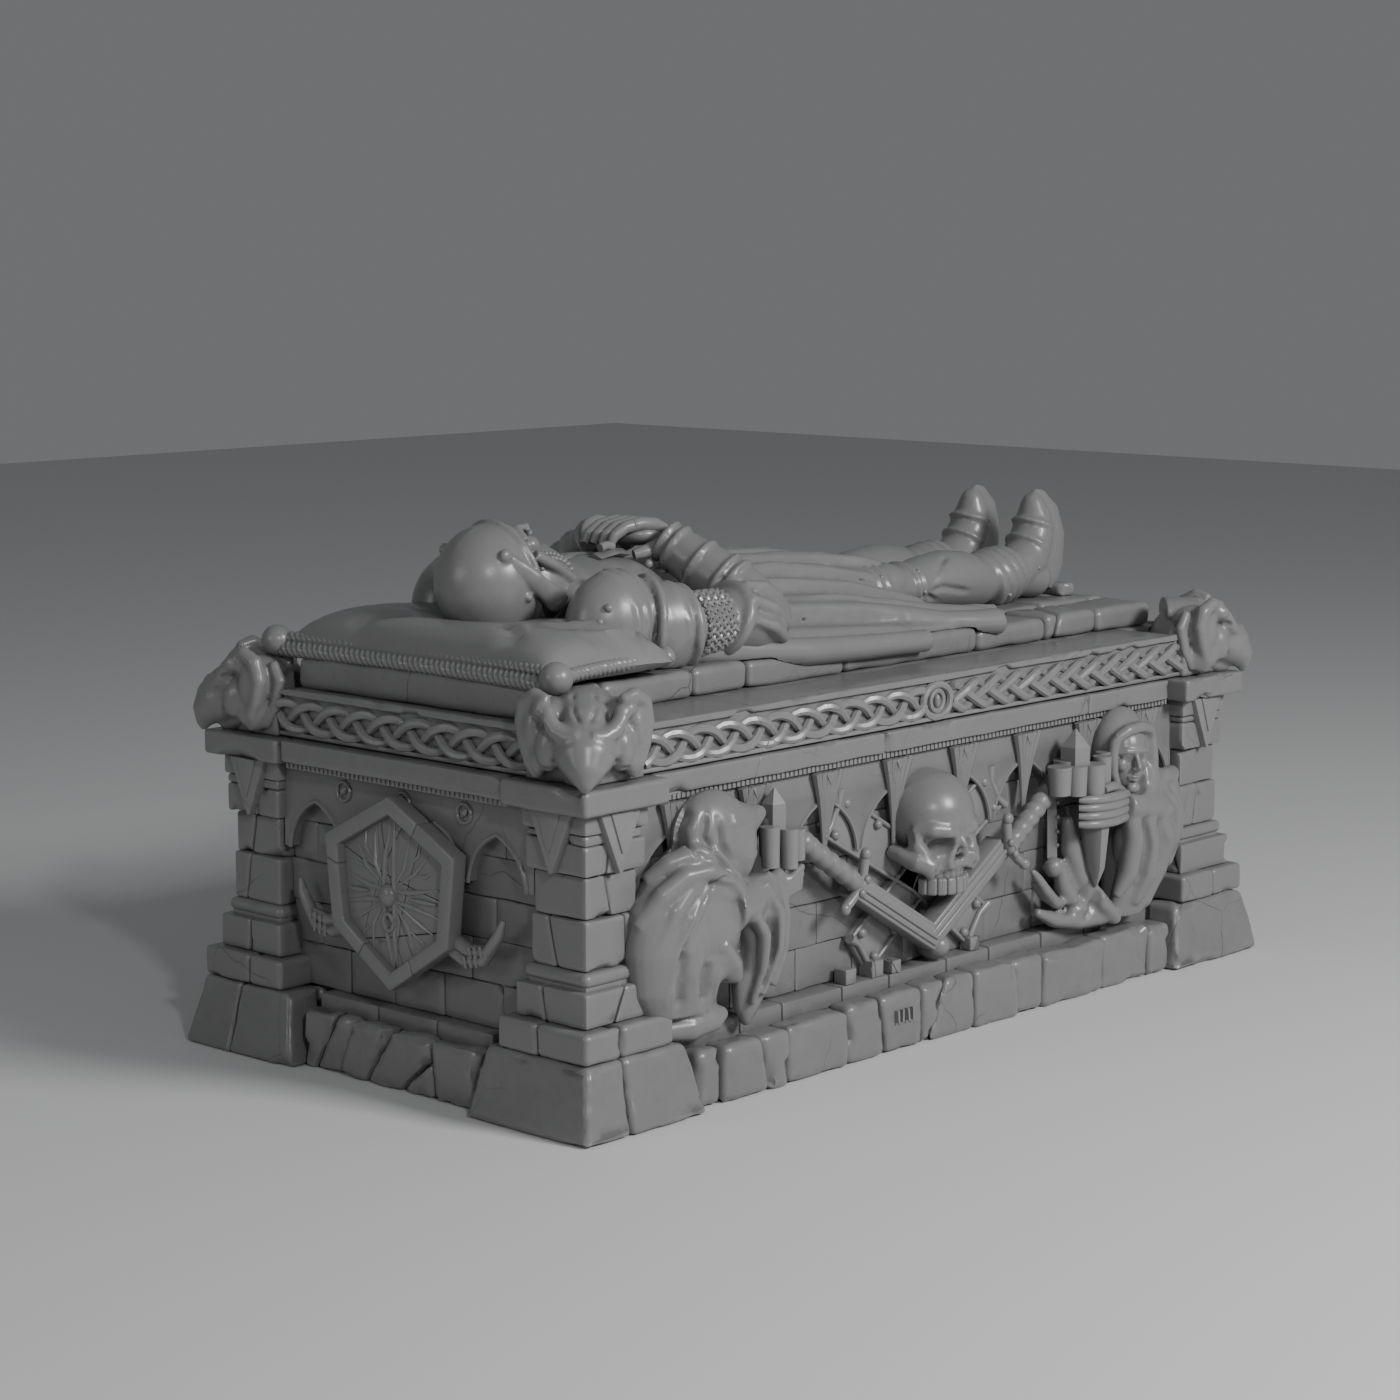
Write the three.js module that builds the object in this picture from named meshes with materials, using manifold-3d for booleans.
// A full-size stone effigy tomb: an armoured figure lies on a paved lid over a hollow chest with
// four corner piers, blind arcades, kneeling mourners, trophies of arms and a shield at each end.
// Millimetres, +Z up, the length along X with the figure's head at -X, the origin at the middle
// of the underside.

import * as THREE from 'three';
import { mergeVertices } from 'three/addons/utils/BufferGeometryUtils.js';
import Module from 'manifold-3d';

const wasm = await Module();
wasm.setup();

const gap = 0.3;                 // clear joint left between touching stones
const pierX = 962;               // pier axis from the middle, along the length
const pierY = 433;               // pier axis from the middle, across the width

// Widths and levels of the pier courses, from the ground up
const footWidth = 334;
const footInset = 15;            // the foot sits this far inward of the pier axis, both ways
const footTop = 142;
const footBatter = 27;
const stepWidth = 236;
const stepTop = 203;
const blockWidth = 188;
const blockTop = 272;
const rollWidth = 162;
const rollTop = 304;
const lowerShaftWidth = 145;
const lowerShaftTop = 400;
const upperShaftWidth = 136;
const upperShaftTop = 483;
const capitalWidth = 164;
const capitalTop = 562;
const neckWidth = 170;
const impostBottom = 602;
const impostWidth = 228;
const impostTop = 652;
const headBlockWidth = 158;
const headBlockTop = 738;

// The chest between the piers
const ledgeTop = 144;
const ledgeFrontLong = 495;      // front edge of the ledge slab, long sides
const ledgeFrontEnd = 1030;      // front edge of the ledge slab, short ends
const brickLong = 455;           // face of the recessed wall, long sides
const brickEnd = 1000;           // face of the recessed wall, short ends
const wallThickness = 100;
const arcadeDepth = 24;
const wallTop = 594;
const lintelLong = 506;          // face of the lintel, long sides
const lintelEnd = 1064;          // face of the lintel, short ends
const baseTop = 117;
const baseFaceLong = 560;
const baseFaceEnd = 1072;

// The lid
const lidHalfX = 1028;
const lidHalfY = 495;
const lidTop = 748;
const pavingHalfX = 1000;
const pavingHalfY = 340;
const pavingTop = 805;

const stone = (tone) => new THREE.MeshStandardMaterial({
  color: tone, roughness: 0.42, metalness: 0, flatShading: true,
});
const palestone = stone(0x7d7d7d);
const darkstone = stone(0x6a6a6a);

// A closed three.js geometry as a solid that can be joined and cut
function solid(geometry) {
  const bare = new THREE.BufferGeometry();
  bare.setAttribute('position', geometry.attributes.position.clone());
  if (geometry.index) bare.setIndex(geometry.index.clone());
  const merged = mergeVertices(bare, 1e-3);
  const corners = merged.index.array;
  const kept = [];
  for (let i = 0; i < corners.length; i += 3) {
    const [a, b, c] = [corners[i], corners[i + 1], corners[i + 2]];
    if (a !== b && b !== c && a !== c) kept.push(a, b, c);
  }
  return new wasm.Manifold(new wasm.Mesh({
    numProp: 3,
    vertProperties: Float32Array.from(merged.attributes.position.array),
    triVerts: Uint32Array.from(kept),
  }));
}

function geometryOf(body) {
  const mesh = body.getMesh();
  const geometry = new THREE.BufferGeometry();
  geometry.setAttribute('position', new THREE.BufferAttribute(mesh.vertProperties, 3));
  geometry.setIndex(new THREE.BufferAttribute(mesh.triVerts, 1));
  return geometry;
}

const joined = (bodies) => bodies.reduce((whole, body) => whole.add(body));

function box(x0, x1, y0, y1, z0, z1) {
  const shape = new THREE.BoxGeometry(x1 - x0, y1 - y0, z1 - z0);
  return solid(shape.translate((x0 + x1) / 2, (y0 + y1) / 2, (z0 + z1) / 2));
}

// A square stone turned about the vertical: pairs of half width and height, from the ground up
function squareStone(profile, shiftX = 0, shiftY = 0) {
  const points = profile.map(([half, z]) => new THREE.Vector2(half * Math.SQRT2, z));
  const first = new THREE.Vector2(0, points[0].y);
  const last = new THREE.Vector2(0, points.at(-1).y);
  const shape = new THREE.LatheGeometry([first, ...points, last], 4, Math.PI / 4);
  return solid(shape.rotateX(Math.PI / 2).translate(shiftX, shiftY, 0));
}

// A block with a sloped arris round its top: half sizes x and y about a centre
function chamferedBlock(cx, cy, hx, hy, z0, z1, chamfer) {
  const shape = new THREE.LatheGeometry([
    new THREE.Vector2(0, z0),
    new THREE.Vector2(Math.SQRT2, z0),
    new THREE.Vector2(Math.SQRT2, z1 - chamfer),
    new THREE.Vector2(Math.SQRT2 * 0.999, z1),
    new THREE.Vector2(0, z1),
  ], 4, Math.PI / 4).rotateX(Math.PI / 2);
  const place = shape.attributes.position;
  for (let i = 0; i < place.count; i += 1) {
    const top = place.getZ(i) > z1 - chamfer / 2;
    const inset = top ? chamfer : 0;
    place.setX(i, cx + Math.round(place.getX(i)) * (hx - inset));
    place.setY(i, cy + Math.round(place.getY(i)) * (hy - inset));
  }
  return solid(shape);
}

// A rounded mass: centre and three radii
function blob(centre, radii, across = 7, down = 4) {
  const shape = new THREE.SphereGeometry(1, across, down).rotateX(Math.PI / 2);
  return solid(shape.scale(...radii).translate(...centre));
}

// A closed skin over rings of points, all with the same count
function skin(rings) {
  const sides = rings[0].length;
  const points = rings.flat();
  const first = points.length;
  const middle = (ring) => ring.reduce((sum, p) => sum.add(p), new THREE.Vector3())
    .divideScalar(ring.length);
  points.push(middle(rings[0]), middle(rings.at(-1)));
  const faces = [];
  for (let ring = 0; ring < rings.length - 1; ring += 1) {
    for (let side = 0; side < sides; side += 1) {
      const a = ring * sides + side;
      const b = ring * sides + (side + 1) % sides;
      faces.push(a, b, b + sides, a, b + sides, a + sides);
    }
  }
  const end = (rings.length - 1) * sides;
  for (let side = 0; side < sides; side += 1) {
    faces.push(first, (side + 1) % sides, side);
    faces.push(first + 1, end + side, end + (side + 1) % sides);
  }
  const geometry = new THREE.BufferGeometry().setFromPoints(points);
  geometry.setIndex(faces);
  return solid(geometry);
}

// A limb or fold: a chain of [x, y, z, radius], its section flattened upward by a factor
function limb(stations, sides = 5, flatten = 1) {
  const path = stations.map(([x, y, z]) => new THREE.Vector3(x, y, z));
  let level = null;
  const rings = path.map((point, i) => {
    const before = path[Math.max(i - 1, 0)];
    const after = path[Math.min(i + 1, path.length - 1)];
    const along = after.clone().sub(before).normalize();
    if (!level) {
      const guide = Math.abs(along.z) > 0.8 ? new THREE.Vector3(1, 0, 0) : new THREE.Vector3(0, 0, 1);
      level = new THREE.Vector3().crossVectors(guide, along);
    }
    level.addScaledVector(along, -level.dot(along)).normalize();
    const across = level.clone();
    const rise = new THREE.Vector3().crossVectors(along, across);
    return Array.from({ length: sides }, (_, k) => {
      const turn = (k + 0.5) * 2 * Math.PI / sides;
      return point.clone()
        .addScaledVector(across, Math.cos(turn) * stations[i][3])
        .addScaledVector(rise, Math.sin(turn) * stations[i][3] * flatten);
    });
  });
  return skin(rings);
}

// A form lofted along X through [x, y, z, half width, half height] rings
function alongX(stations, sides = 8) {
  return skin(stations.map(([x, y, z, wide, high]) => Array.from({ length: sides }, (_, k) => {
    const turn = (k + 0.5) * 2 * Math.PI / sides;
    return new THREE.Vector3(x, y + Math.cos(turn) * wide, z + Math.sin(turn) * high);
  })));
}

// A form lofted upward through [z, x, y, half width, half depth] rings, with shallow folds
function upward(stations, sides = 10, fold = 0) {
  return skin(stations.map(([z, x, y, wide, deep]) => Array.from({ length: sides }, (_, k) => {
    const turn = k * 2 * Math.PI / sides;
    const size = 1 + fold * (k % 2 ? -1 : 1);
    return new THREE.Vector3(x + Math.cos(turn) * wide * size, y + Math.sin(turn) * deep * size, z);
  })));
}

// A flat outline of [x, z] points standing between two depths, as seen from the front
function plate(outline, back, front, bevel = 0) {
  const shape = new THREE.Shape(outline.map(([x, z]) => new THREE.Vector2(x, z)));
  const depth = Math.abs(front - back) - bevel;
  const extruded = new THREE.ExtrudeGeometry(shape, {
    depth, bevelEnabled: bevel > 0, bevelThickness: bevel, bevelSize: bevel,
    bevelOffset: -bevel, bevelSegments: 1, curveSegments: 4, steps: 1,
  });
  return solid(extruded.rotateX(Math.PI / 2).translate(0, -back, 0));
}

const tomb = new THREE.Group();
tomb.name = 'effigy_tomb';
const faceTurns = { front: 0, head: -Math.PI / 2, back: Math.PI, foot: Math.PI / 2 };
const cornerTurns = { head_front: Math.PI, foot_front: -Math.PI / 2, foot_back: 0, head_back: Math.PI / 2 };

function place(name, body, material, parent = tomb) {
  const mesh = new THREE.Mesh(geometryOf(body), material);
  mesh.name = name;
  parent.add(mesh);
  return mesh;
}

// Piers: eight square stones one on another at each corner, with a bird's head on the top block
const foot = squareStone([
  [footWidth / 2, 0], [footWidth / 2 - footBatter, footTop - 22], [footWidth / 2 - footBatter - 12, footTop],
], -footInset, -footInset);
const step = squareStone([
  [stepWidth / 2, footTop + gap], [stepWidth / 2, stepTop - 18], [stepWidth / 2 - 16, stepTop],
]);
const plinth = squareStone([
  [blockWidth / 2 - 3, stepTop + gap], [blockWidth / 2, stepTop + 12], [blockWidth / 2, blockTop - 12],
  [rollWidth / 2 - 10, blockTop], [rollWidth / 2, blockTop + 9], [rollWidth / 2, rollTop - 9],
  [rollWidth / 2 - 8, rollTop],
]);
const lowerShaft = squareStone([
  [lowerShaftWidth / 2, rollTop + gap], [lowerShaftWidth / 2, lowerShaftTop - 6],
  [lowerShaftWidth / 2 - 4, lowerShaftTop],
]);
const upperShaft = squareStone([
  [upperShaftWidth / 2 - 3, lowerShaftTop + gap], [upperShaftWidth / 2, lowerShaftTop + 8],
  [upperShaftWidth / 2, upperShaftTop],
]);
const dropHalf = 52;             // half width of the pointed drop carved on each outer capital face
const dropProud = 7;
function capitalStone() {
  const body = squareStone([
    [upperShaftWidth / 2, upperShaftTop + gap], [capitalWidth / 2, upperShaftTop + 16],
    [capitalWidth / 2, capitalTop], [neckWidth / 2, capitalTop + 8], [neckWidth / 2, impostBottom],
  ]);
  const outline = [[-dropHalf, impostBottom], [0, upperShaftTop + 3], [dropHalf, impostBottom]];
  const drop = plate(outline, capitalWidth / 2 - 20, neckWidth / 2 + dropProud);
  return joined([body, drop.rotate([0, 0, 90]), drop.rotate([0, 0, 180])]);
}
const impost = squareStone([
  [impostWidth / 2 - 8, impostBottom + gap], [impostWidth / 2, impostBottom + 10],
  [impostWidth / 2, impostTop - 6], [impostWidth / 2 - 5, impostTop],
]);

// A hooked bird's head looking out along the diagonal: skull, heavy brows, side feathers, beak
function birdHead() {
  const body = squareStone([
    [headBlockWidth / 2, impostTop + gap], [headBlockWidth / 2, headBlockTop - 10],
    [headBlockWidth / 2 - 10, headBlockTop],
  ]);
  const skull = blob([34, 0, 728], [76, 62, 72], 7, 5);
  const beak = limb([
    [60, 0, 742, 56], [105, 0, 730, 46], [140, 0, 700, 32], [156, 0, 668, 12],
  ], 6, 0.9);
  const sides = [-1, 1].map((side) => limb([
    [102, side * 16, 754, 15], [44, side * 86, 768, 20], [74, side * 62, 664, 12],
  ], 5));
  const raised = joined([skull, beak, ...sides]).rotate([0, 0, 45]);
  const below = box(-400, 400, -400, 400, 400, impostTop + gap);
  return joined([body, raised]).subtract(below);
}

const courses = {
  foot,
  step,
  plinth,
  lower_shaft: lowerShaft,
  upper_shaft: upperShaft,
  capital: capitalStone(),
  impost,
  bird_head: birdHead(),
};
for (const [corner, turn] of Object.entries(cornerTurns)) {
  const pier = new THREE.Group();
  const right = corner.startsWith('foot') ? 1 : -1;
  const rear = corner.endsWith('back') ? 1 : -1;
  pier.position.set(right * pierX, rear * pierY, 0);
  pier.rotation.z = turn;
  for (const [course, body] of Object.entries(courses)) {
    place(`${corner}_${course}`, body, palestone, pier);
  }
  tomb.add(pier);
}

// Everything the piers take up, a joint wider, for cutting what is built against them
function pierRoom(z0, z1, width, inset = 0) {
  const half = width / 2 + gap;
  return [-1, 1].flatMap((sx) => [-1, 1].map((sy) => {
    const cx = sx * (pierX - inset);
    const cy = sy * (pierY - inset);
    return box(cx - half, cx + half, cy - half, cy + half, z0, z1);
  }));
}
const allPiers = joined([
  ...pierRoom(-10, footTop + gap, footWidth, footInset),
  ...pierRoom(footTop, stepTop + gap, stepWidth),
  ...pierRoom(stepTop, blockTop + gap, blockWidth),
  ...pierRoom(blockTop, rollTop + gap, rollWidth),
  ...pierRoom(rollTop, upperShaftTop + gap, lowerShaftWidth),
  ...pierRoom(upperShaftTop, impostBottom + gap, neckWidth),
]);

// The ledge slab is the chest's floor and the step on which the figures stand
const ledge = chamferedBlock(0, 0, ledgeFrontEnd, ledgeFrontLong, 0, ledgeTop, 8);
place('ledge_slab', ledge.subtract(joined(pierRoom(-10, footTop + 10, footWidth, footInset))), darkstone);

// Base courses: a row of rough squared stones along each side, between the feet
function baseCourse(half, inner, outer, count) {
  const joint = (i) => (i % count ? Math.round(-half + 2 * half * i / count) : -half + 2 * half * i / count);
  const stones = Array.from({ length: count }, (_, i) => {
    const [x0, x1] = [joint(i), joint(i + 1)];
    const lean = Math.round(9 * Math.sin(i * 2.4 + 1));
    const rise = Math.round(6 * Math.sin(i * 1.7 + 2));
    return chamferedBlock(
      (x0 + x1) / 2, -(inner + outer + lean) / 2, (x1 - x0) / 2, (outer - inner + lean) / 2,
      0, baseTop + rise, 14,
    );
  });
  return joined(stones);
}

// A wall panel: coursed stone with a blind arcade of pointed arches, and pendants between them
function wallPanel(half, face, pitch, archCount, tipZ, apexZ, drops) {
  const courseHeight = (wallTop - ledgeTop) / 5;
  const profile = [[-face + wallThickness, ledgeTop + gap], [-face + wallThickness, wallTop - gap]];
  profile.push([-face, wallTop - gap]);
  for (let course = 2; course > 0; course -= 1) {
    const z = ledgeTop + course * courseHeight;
    profile.push([-face, z + 4], [-face + 5, z], [-face, z - 4]);
  }
  profile.push([-face, ledgeTop + gap]);
  const section = new THREE.Shape(profile.map(([y, z]) => new THREE.Vector2(y, z)));
  const extruded = new THREE.ExtrudeGeometry(section, { depth: 2 * half, bevelEnabled: false });
  const wall = solid(extruded.rotateX(Math.PI / 2).rotateZ(Math.PI / 2).translate(-half, 0, 0));
  const outline = [[-half, wallTop - gap]];
  const start = -archCount * pitch / 2;
  const curve = (from, control, to) => new THREE.QuadraticBezierCurve(
    new THREE.Vector2(...from), new THREE.Vector2(...control), new THREE.Vector2(...to),
  ).getPoints(2).slice(1).map((p) => [p.x, p.y]);
  outline.push([-half, tipZ]);
  for (let arch = 0; arch < archCount; arch += 1) {
    const left = start + arch * pitch;
    const middle = left + pitch / 2;
    const right = left + pitch;
    const spring = tipZ + 0.45 * (apexZ - tipZ);
    outline.push([left + 7, tipZ]);
    outline.push(...curve([left + 7, tipZ], [left + 16, spring + 30], [middle, apexZ]));
    outline.push(...curve([middle, apexZ], [right - 16, spring + 30], [right - 7, tipZ]));
  }
  outline.push([half, tipZ], [half, wallTop - gap]);
  const arcade = plate(outline.reverse(), face - 10, face + arcadeDepth);
  const trumpets = drops.map((x) => plate(
    [[x - 42, wallTop - 8], [x, tipZ + 4], [x + 42, wallTop - 8]], face + 5, face + arcadeDepth + 11,
  ));
  return joined([wall, arcade, ...trumpets]);
}

// A lintel between two impost slabs, with a thin fillet under it
function lintel(half, face, back) {
  const beam = box(-half, half, -face, -back, wallTop + 14, impostTop);
  const fillet = box(-half, half, -face + 16, -back, wallTop, wallTop + 14);
  const bevelled = chamferedBlock(0, -(face + back) / 2, half, (face - back) / 2, wallTop + 14, impostTop, 5);
  return joined([bevelled, fillet, beam.intersect(box(-half, half, -face + 20, -back, 0, impostTop))]);
}

const longHalf = pierX - lowerShaftWidth / 2 - gap;
const endHalf = pierY - lowerShaftWidth / 2 - gap;
const longBaseHalf = pierX - footInset - footWidth / 2 - gap;
const endBaseHalf = pierY - footInset - footWidth / 2 - gap;
const longPitch = 220;
const endPitch = 173;
const sides = {
  front: { long: true }, back: { long: true }, head: { long: false }, foot: { long: false },
};
for (const [side, { long }] of Object.entries(sides)) {
  const group = new THREE.Group();
  group.rotation.z = faceTurns[side];
  const turnBack = -faceTurns[side] * 180 / Math.PI;
  const wall = long
    ? wallPanel(longHalf, brickLong, longPitch, 8, 415, 534,
      [-2.5, -1.5, 1.5, 2.5].map((k) => k * longPitch))
    : wallPanel(endHalf, brickEnd, endPitch, 4, 428, 530, []);
  place(`${side}_wall`, wall.subtract(allPiers.rotate([0, 0, turnBack])), darkstone, group);
  const course = long
    ? baseCourse(longBaseHalf, ledgeFrontLong + gap, baseFaceLong, 8)
    : baseCourse(endBaseHalf, ledgeFrontEnd + gap, baseFaceEnd, 4);
  place(`${side}_base_course`, course, palestone, group);
  const beam = long
    ? lintel(pierX - impostWidth / 2 - gap, lintelLong, brickLong - wallThickness)
    : lintel(pierY - impostWidth / 2 - gap, lintelEnd, brickEnd - wallThickness);
  const cut = joined(pierRoom(upperShaftTop, impostBottom + gap, neckWidth)).rotate([0, 0, turnBack]);
  place(`${side}_lintel`, beam.subtract(cut), palestone, group);
  tomb.add(group);
}

// Figures on the long sides are cut where they meet the wall, the arcade, the ledge and the piers
const figureBack = -(brickLong + gap);
const arcadeFront = -(brickLong + arcadeDepth + 11 + gap);
function againstWall(bodies, deep = figureBack) {
  const behind = box(-1200, 1200, deep, 0, 0, 900);
  const arches = box(-1200, 1200, arcadeFront, 0, 405, 900);
  const below = box(-1200, 1200, -900, 0, -50, ledgeTop + gap);
  return joined(bodies).subtract(joined([behind, arches, below, allPiers]));
}

// A bundle of short rods round a pointed crystal, held upright
function rodBundle(x, y, low, high, reach) {
  const rods = [-1, 1].map((k) => limb([
    [x + k * 16, y, low, 18], [x + k * reach, y + 6, high, 22],
  ], 5));
  const point = limb([[x, y + 4, high - 20, 17], [x, y + 4, high + 28, 17], [x, y + 4, high + 62, 1]], 4);
  return [...rods, point];
}

// The kneeling mourner is seen from behind its shoulder, in profile to the wall
function kneelingMourner() {
  const robe = upward([
    [140, -735, -510, 118, 48], [230, -744, -512, 144, 56], [380, -750, -512, 134, 56],
    [480, -715, -508, 70, 44],
  ], 8, 0.06);
  const thigh = limb([[-800, -520, 190, 52], [-690, -525, 200, 56], [-610, -522, 170, 38]], 5, 0.9);
  const hood = limb([[-738, -514, 505, 40], [-690, -514, 518, 72], [-605, -512, 522, 52],
    [-556, -510, 548, 22]], 7);
  const arm = limb([[-715, -526, 425, 46], [-668, -534, 345, 50], [-585, -534, 335, 42],
    [-498, -524, 415, 24]]);
  const sleeve = limb([[-560, -530, 360, 34], [-602, -534, 146, 20]], 5);
  return againstWall([robe, thigh, hood, arm, sleeve, ...rodBundle(-490, -524, 400, 500, 26)], arcadeFront);
}

// The second faces out of the wall, turned towards the trophy, its cloak pooled at its feet
function standingMourner() {
  const robe = upward([
    [140, 715, -508, 118, 46], [230, 718, -510, 122, 52], [400, 730, -510, 108, 54],
    [480, 672, -508, 44, 38],
  ], 8, 0.06);
  const hood = limb([[650, -508, 425, 46], [638, -510, 530, 60], [632, -508, 600, 22]], 7);
  const face = limb([[612, -545, 455, 18], [608, -552, 500, 30], [610, -548, 540, 24]], 5);
  const arm = limb([[780, -522, 420, 40], [735, -536, 350, 46], [530, -540, 415, 26]], 5);
  const stem = limb([[512, -530, 240, 10], [500, -530, 430, 28]], 5);
  const hem = limb([[350, -512, 270, 10], [410, -515, 190, 18], [610, -530, 165, 28]], 5);
  const lap = limb([[640, -520, 340, 44], [590, -530, 150, 42]], 5);
  return againstWall([robe, hood, face, arm, stem, hem, lap, ...rodBundle(490, -528, 430, 515, 30)],
    arcadeFront);
}

// The trophy: a skull over two swords whose points meet, with crossed riveted plates behind
function trophy() {
  const middle = [-10, 335];
  const arms = [[-290, 490], [243, 485], [-211, 196], [186, 194]].map(([x, z]) => {
    const across = new THREE.Vector2(x - middle[0], z - middle[1]).normalize();
    const side = [-across.y * 46, across.x * 46];
    const outline = [
      [middle[0] - side[0], middle[1] - side[1]], [x - side[0] * 1.15, z - side[1] * 1.15],
      [x + side[0] * 1.15, z + side[1] * 1.15], [middle[0] + side[0], middle[1] + side[1]],
    ];
    return plate(outline, brickLong + gap, brickLong + 34);
  });
  const swords = [-1, 1].flatMap((side) => {
    const tip = [-33, 200];
    const guard = side < 0 ? [-280, 366] : [213, 373];
    const pommel = side < 0 ? [-415, 462] : [422, 467];
    const run = new THREE.Vector2(guard[0] - tip[0], guard[1] - tip[1]).normalize();
    const half = 29;
    const off = [-run.y * half, run.x * half];
    const beyond = [tip[0] - run.x * 8, tip[1] - run.y * 8];
    const blade = plate([
      [beyond[0] - off[0], beyond[1] - off[1]], [beyond[0] + off[0], beyond[1] + off[1]],
      [guard[0] + off[0], guard[1] + off[1]], [guard[0] - off[0], guard[1] - off[1]],
    ].reverse(), 482, 552);
    const wide = [off[0] * 2.1, off[1] * 2.1];
    const bar = limb([
      [guard[0] - wide[0], -530, guard[1] - wide[1], 18], [guard[0] + wide[0], -530, guard[1] + wide[1], 18],
    ], 4);
    const grip = limb([[guard[0], -530, guard[1], 22], [pommel[0], -522, pommel[1], 25]], 5);
    return [blade, bar, grip];
  });
  const cranium = blob([-12, -488, 450], [130, 76, 106], 8, 6);
  const cheek = alongX([[-84, -490, 356, 30, 26], [-24, -494, 358, 56, 48], [66, -500, 356, 62, 64],
    [126, -494, 346, 34, 40]], 7);
  const teeth = box(-36, 100, -546, -460, 284, 324);
  const brow = limb([[4, -545, 410, 15], [60, -560, 406, 18], [130, -540, 418, 12]], 4);
  const socket = limb([[42, -600, 380, 30], [32, -510, 378, 22]], 5);
  const farSocket = limb([[122, -590, 382, 20], [114, -510, 380, 16]], 4);
  const nose = limb([[88, -600, 336, 16], [80, -524, 334, 12]], 3);
  const skull = joined([cranium, cheek, teeth, brow]).subtract(joined([socket, farSocket, nose]));
  return againstWall([...arms, ...swords, skull]);
}

// Front and back carry the same figures, the back ones turned half round
const kneeling = kneelingMourner();
const standing = standingMourner();
const arms = trophy();
for (const side of ['front', 'back']) {
  const group = new THREE.Group();
  group.rotation.z = faceTurns[side];
  place(`${side}_kneeling_mourner`, kneeling, palestone, group);
  place(`${side}_standing_mourner`, standing, palestone, group);
  place(`${side}_trophy`, arms, palestone, group);
  tomb.add(group);
}

// The shield at each end: a six-sided board with a thick rim, a domed field, a cross and a boss
function shieldBoard() {
  const outline = (grow) => [
    [0, 578 + grow], [-(186 + grow), 482 + grow / 2], [-(166 + grow), 300 - grow / 2],
    [0, 192 - grow], [166 + grow, 300 - grow / 2], [186 + grow, 482 + grow / 2],
  ];
  const board = plate(outline(0), brickEnd + arcadeDepth + gap, brickEnd + 62, 8);
  const field = plate(outline(-34), brickEnd + 50, brickEnd + 80);
  const dome = blob([0, -(brickEnd + 36), 385], [128, 24, 150], 7, 4);
  const cross = joined([
    box(-14, 14, -(brickEnd + 64), -(brickEnd + 40), 240, 530),
    box(-140, 140, -(brickEnd + 64), -(brickEnd + 40), 372, 398),
  ]);
  const boss = blob([0, -(brickEnd + 62), 385], [22, 16, 22], 6, 4);
  const claws = [-1, 1].map((side) => limb([
    [side * 150, -(brickEnd + 30), 320, 20], [side * 250, -(brickEnd + 32), 316, 17],
    [side * 286, -(brickEnd + 30), 366, 10],
  ], 5));
  const stub = box(-110, 110, -(brickEnd + 40), -(brickEnd + gap), 230, 420);
  const front = joined([board.subtract(field), dome, cross, boss, ...claws, stub]);
  const behind = box(-600, 600, -(brickEnd + gap), 0, 0, 900);
  const arches = box(-600, 600, -(brickEnd + arcadeDepth + gap), 0, 425, 900);
  return front.subtract(behind.add(arches));
}
const shield = shieldBoard();
for (const side of ['head', 'foot']) {
  const group = new THREE.Group();
  group.rotation.z = faceTurns[side];
  place(`${side}_shield`, shield, palestone, group);
  tomb.add(group);
}

// The lid slab, notched for the four corner blocks, with a band of interlace on every face
function interlace(half, face, count) {
  const low = impostTop + 30;
  const high = lidTop - 26;
  const strandHalf = 9;
  const proud = 12;
  return [0, 1].map((phase) => skin(Array.from({ length: count + 1 }, (_, i) => {
    const x = -half + 2 * half * i / count;
    const z = (i + phase) % 2 ? high : low;
    return [[face + proud, z], [face - 4, z - strandHalf], [face - 4, z + strandHalf]]
      .map(([out, level]) => new THREE.Vector3(x, -out, level));
  })));
}
function lidSlab() {
  const notchX = pierX - headBlockWidth / 2 - gap;
  const notchY = pierY - headBlockWidth / 2 - gap;
  const bottom = impostTop + gap;
  const body = joined([
    chamferedBlock(0, 0, lidHalfX, notchY, bottom, lidTop, 6),
    chamferedBlock(0, 0, notchX, lidHalfY, bottom, lidTop, 6),
  ]);
  const bands = [[notchX, lidHalfY, 16], [notchY, lidHalfX, 6]].flatMap(
    ([half, face, count], i) => [0, 180].flatMap((turn) => [
      ...interlace(half - 4, face, count),
      box(-half, half, -face - 10, -face + 5, lidTop - 16, lidTop - 2),
      box(-half, half, -face - 8, -face + 5, bottom + 4, bottom + 13),
    ].map((body) => body.rotate([0, 0, turn - 90 * i]))),
  );
  return joined([body, ...bands]);
}
place('lid_slab', lidSlab(), palestone);

// Paving on the lid: rows of thick worn slabs with rounded edges
function paving() {
  const outerJoints = [-560, -400, -100, 350, 600, 790];
  const innerJoints = [-640, -80, 480, 760];
  const rows = [[-pavingHalfY, -205, outerJoints], [-205, 0, innerJoints],
    [0, 205, innerJoints.map((x) => x - 90)], [205, pavingHalfY, outerJoints.map((x) => x + 40)]];
  const slabs = rows.flatMap(([y0, y1, joints]) => {
    const ends = [-pavingHalfX, ...joints, pavingHalfX];
    return joints.concat(pavingHalfX).map((x1, i) => chamferedBlock(
      (ends[i] + x1) / 2, (y0 + y1) / 2, (x1 - ends[i]) / 2, (y1 - y0) / 2, lidTop + gap, pavingTop, 13,
    ));
  });
  return joined(slabs);
}
place('lid_paving', paving(), darkstone);

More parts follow.
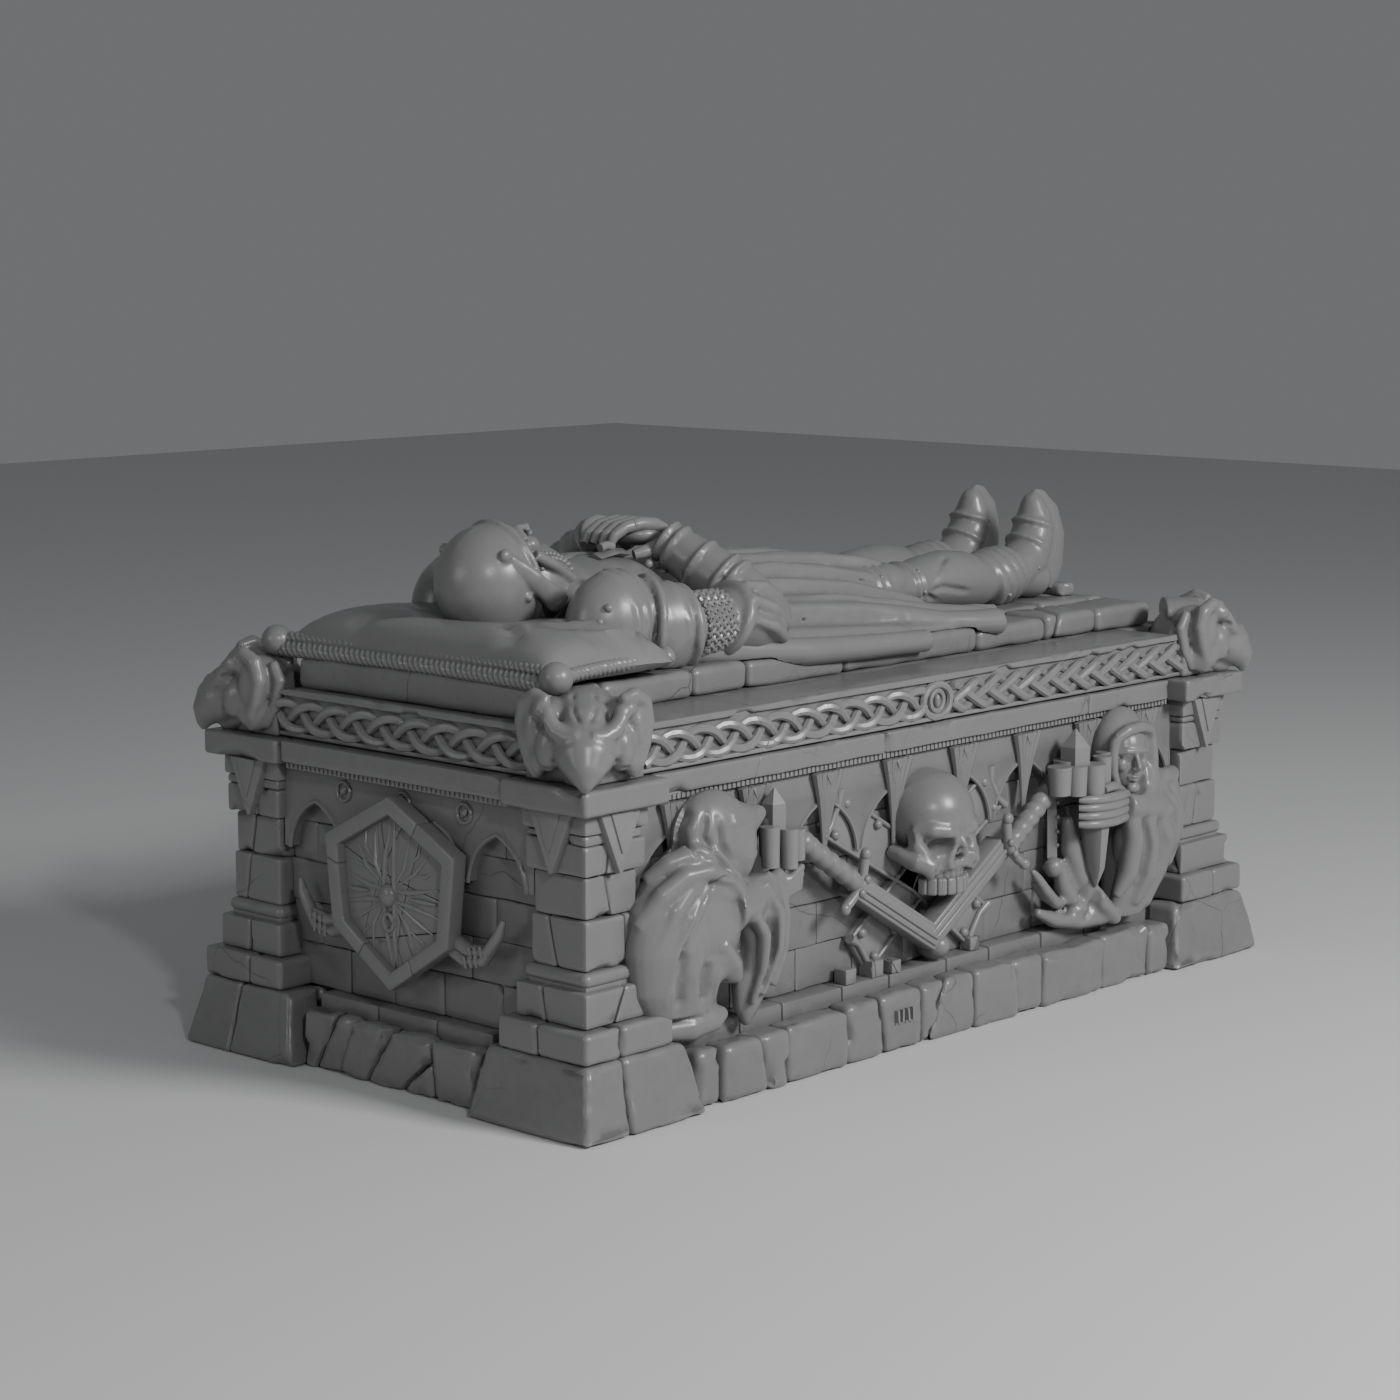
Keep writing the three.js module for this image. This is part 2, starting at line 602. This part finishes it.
// The pillow: a crowned cushion pinched between its corners, roped round its edge, with a ball
// at each corner
function pillow(grow = 0) {
  const levels = [[0, 0.9], [30, 1], [70, 0.9], [96, 0.55]];
  const cushion = skin(levels.map(([rise, size], level) => Array.from({ length: 12 }, (_, k) => {
    const turn = (k + 0.5) * Math.PI / 6;
    const reach = size / Math.max(Math.abs(Math.cos(turn)), Math.abs(Math.sin(turn)));
    return new THREE.Vector3(
      -826 + Math.cos(turn) * reach * (160 + grow),
      Math.sin(turn) * reach * (364 + grow),
      pavingTop + gap + rise + (level ? grow : -grow),
    );
  })));
  const corners = [[-1000, -398], [-994, 404], [-650, -344], [-652, 346]];
  const balls = corners.map(([x, y]) => blob([x, y, 838], [32 + grow, 32 + grow, 32 + grow], 6, 4));
  const edges = [[0, 1], [1, 3], [3, 2], [2, 0]].map(([a, b]) => limb([
    [...corners[a], 834, 17 + grow], [...corners[b], 834, 17 + grow],
  ], 5));
  return joined([cushion, ...balls, ...edges]);
}
const besideHeads = joined([-1, 1].map((side) => box(
  -pierX - 130, -pierX + headBlockWidth / 2 + 3, Math.min(side * 340, side * 600),
  Math.max(side * 340, side * 600), 700, pavingTop + 2,
)));
place('pillow', pillow().subtract(besideHeads), palestone);

// The effigy: an armoured figure lying on its back, hands folded, feet up against a low rest
function legOf(side) {
  const y = side * 98;
  return [
    alongX([[200, y, 882, 88, 76], [340, y, 878, 66, 58], [560, y, 866, 70, 62], [715, y, 857, 64, 58],
      [870, y, 852, 42, 44]], 7),
    limb([[868, y, 816, 34], [874, y, 860, 46], [882, y * 0.95, 985, 42], [862, y * 0.92, 1034, 24]],
      6, 0.85),
  ];
}
function armOf(side) {
  return [
    limb([[-780, side * 190, 900, 50], [-680, side * 222, 902, 98], [-560, side * 266, 884, 90],
      [-482, side * 280, 876, 64]], 8),
    limb([[-500, side * 278, 876, 58], [-310, side * 292, 880, 62], [-238, side * 272, 892, 46]]),
    limb([[-290, side * 280, 908, 58], [-315, side * 180, 960, 55], [-372, side * 50, 1026, 38]], 5),
  ];
}
function cloakOf(side) {
  const hem = [[-560, 240], [-300, 322], [140, 336], [150, 300], [420, 334], [436, 286], [300, 120],
    [-560, 120]];
  const points = hem.map(([x, y]) => new THREE.Vector2(x, side * y));
  const sheet = new THREE.ExtrudeGeometry(new THREE.Shape(points), { depth: 26, bevelEnabled: false });
  return [
    solid(sheet.translate(0, 0, pavingTop + gap)),
    limb([[-300, side * 200, 850, 40], [142, side * 312, 824, 24]], 4, 0.9),
    limb([[-250, side * 150, 880, 50], [0, side * 190, 862, 46], [428, side * 308, 826, 24]], 4, 0.9),
  ];
}
function effigy() {
  const helm = alongX([[-932, 0, 944, 26, 26], [-900, 0, 964, 80, 68], [-812, 0, 988, 118, 106],
    [-740, 0, 972, 120, 98], [-600, 0, 934, 92, 76]], 8);
  const trunk = alongX([[-650, 0, 900, 120, 62], [-590, 0, 904, 190, 88], [-480, 0, 902, 200, 98],
    [-200, 0, 886, 164, 80], [285, 0, 876, 178, 64]], 8);
  const hands = alongX([[-470, 0, 1040, 34, 20], [-400, 0, 1044, 62, 30], [-335, 0, 1034, 48, 26]], 6);
  const rest = box(888, 960, -150, 150, 780, 832);
  const body = joined([
    helm, trunk, hands, rest,
    ...[-1, 1].flatMap((side) => [...legOf(side), ...armOf(side), ...cloakOf(side)]),
  ]);
  const under = box(-1100, 1100, -600, 600, 600, pavingTop + gap);
  return body.subtract(under).subtract(pillow(0.5));
}
place('effigy', effigy(), palestone);

export default tomb;
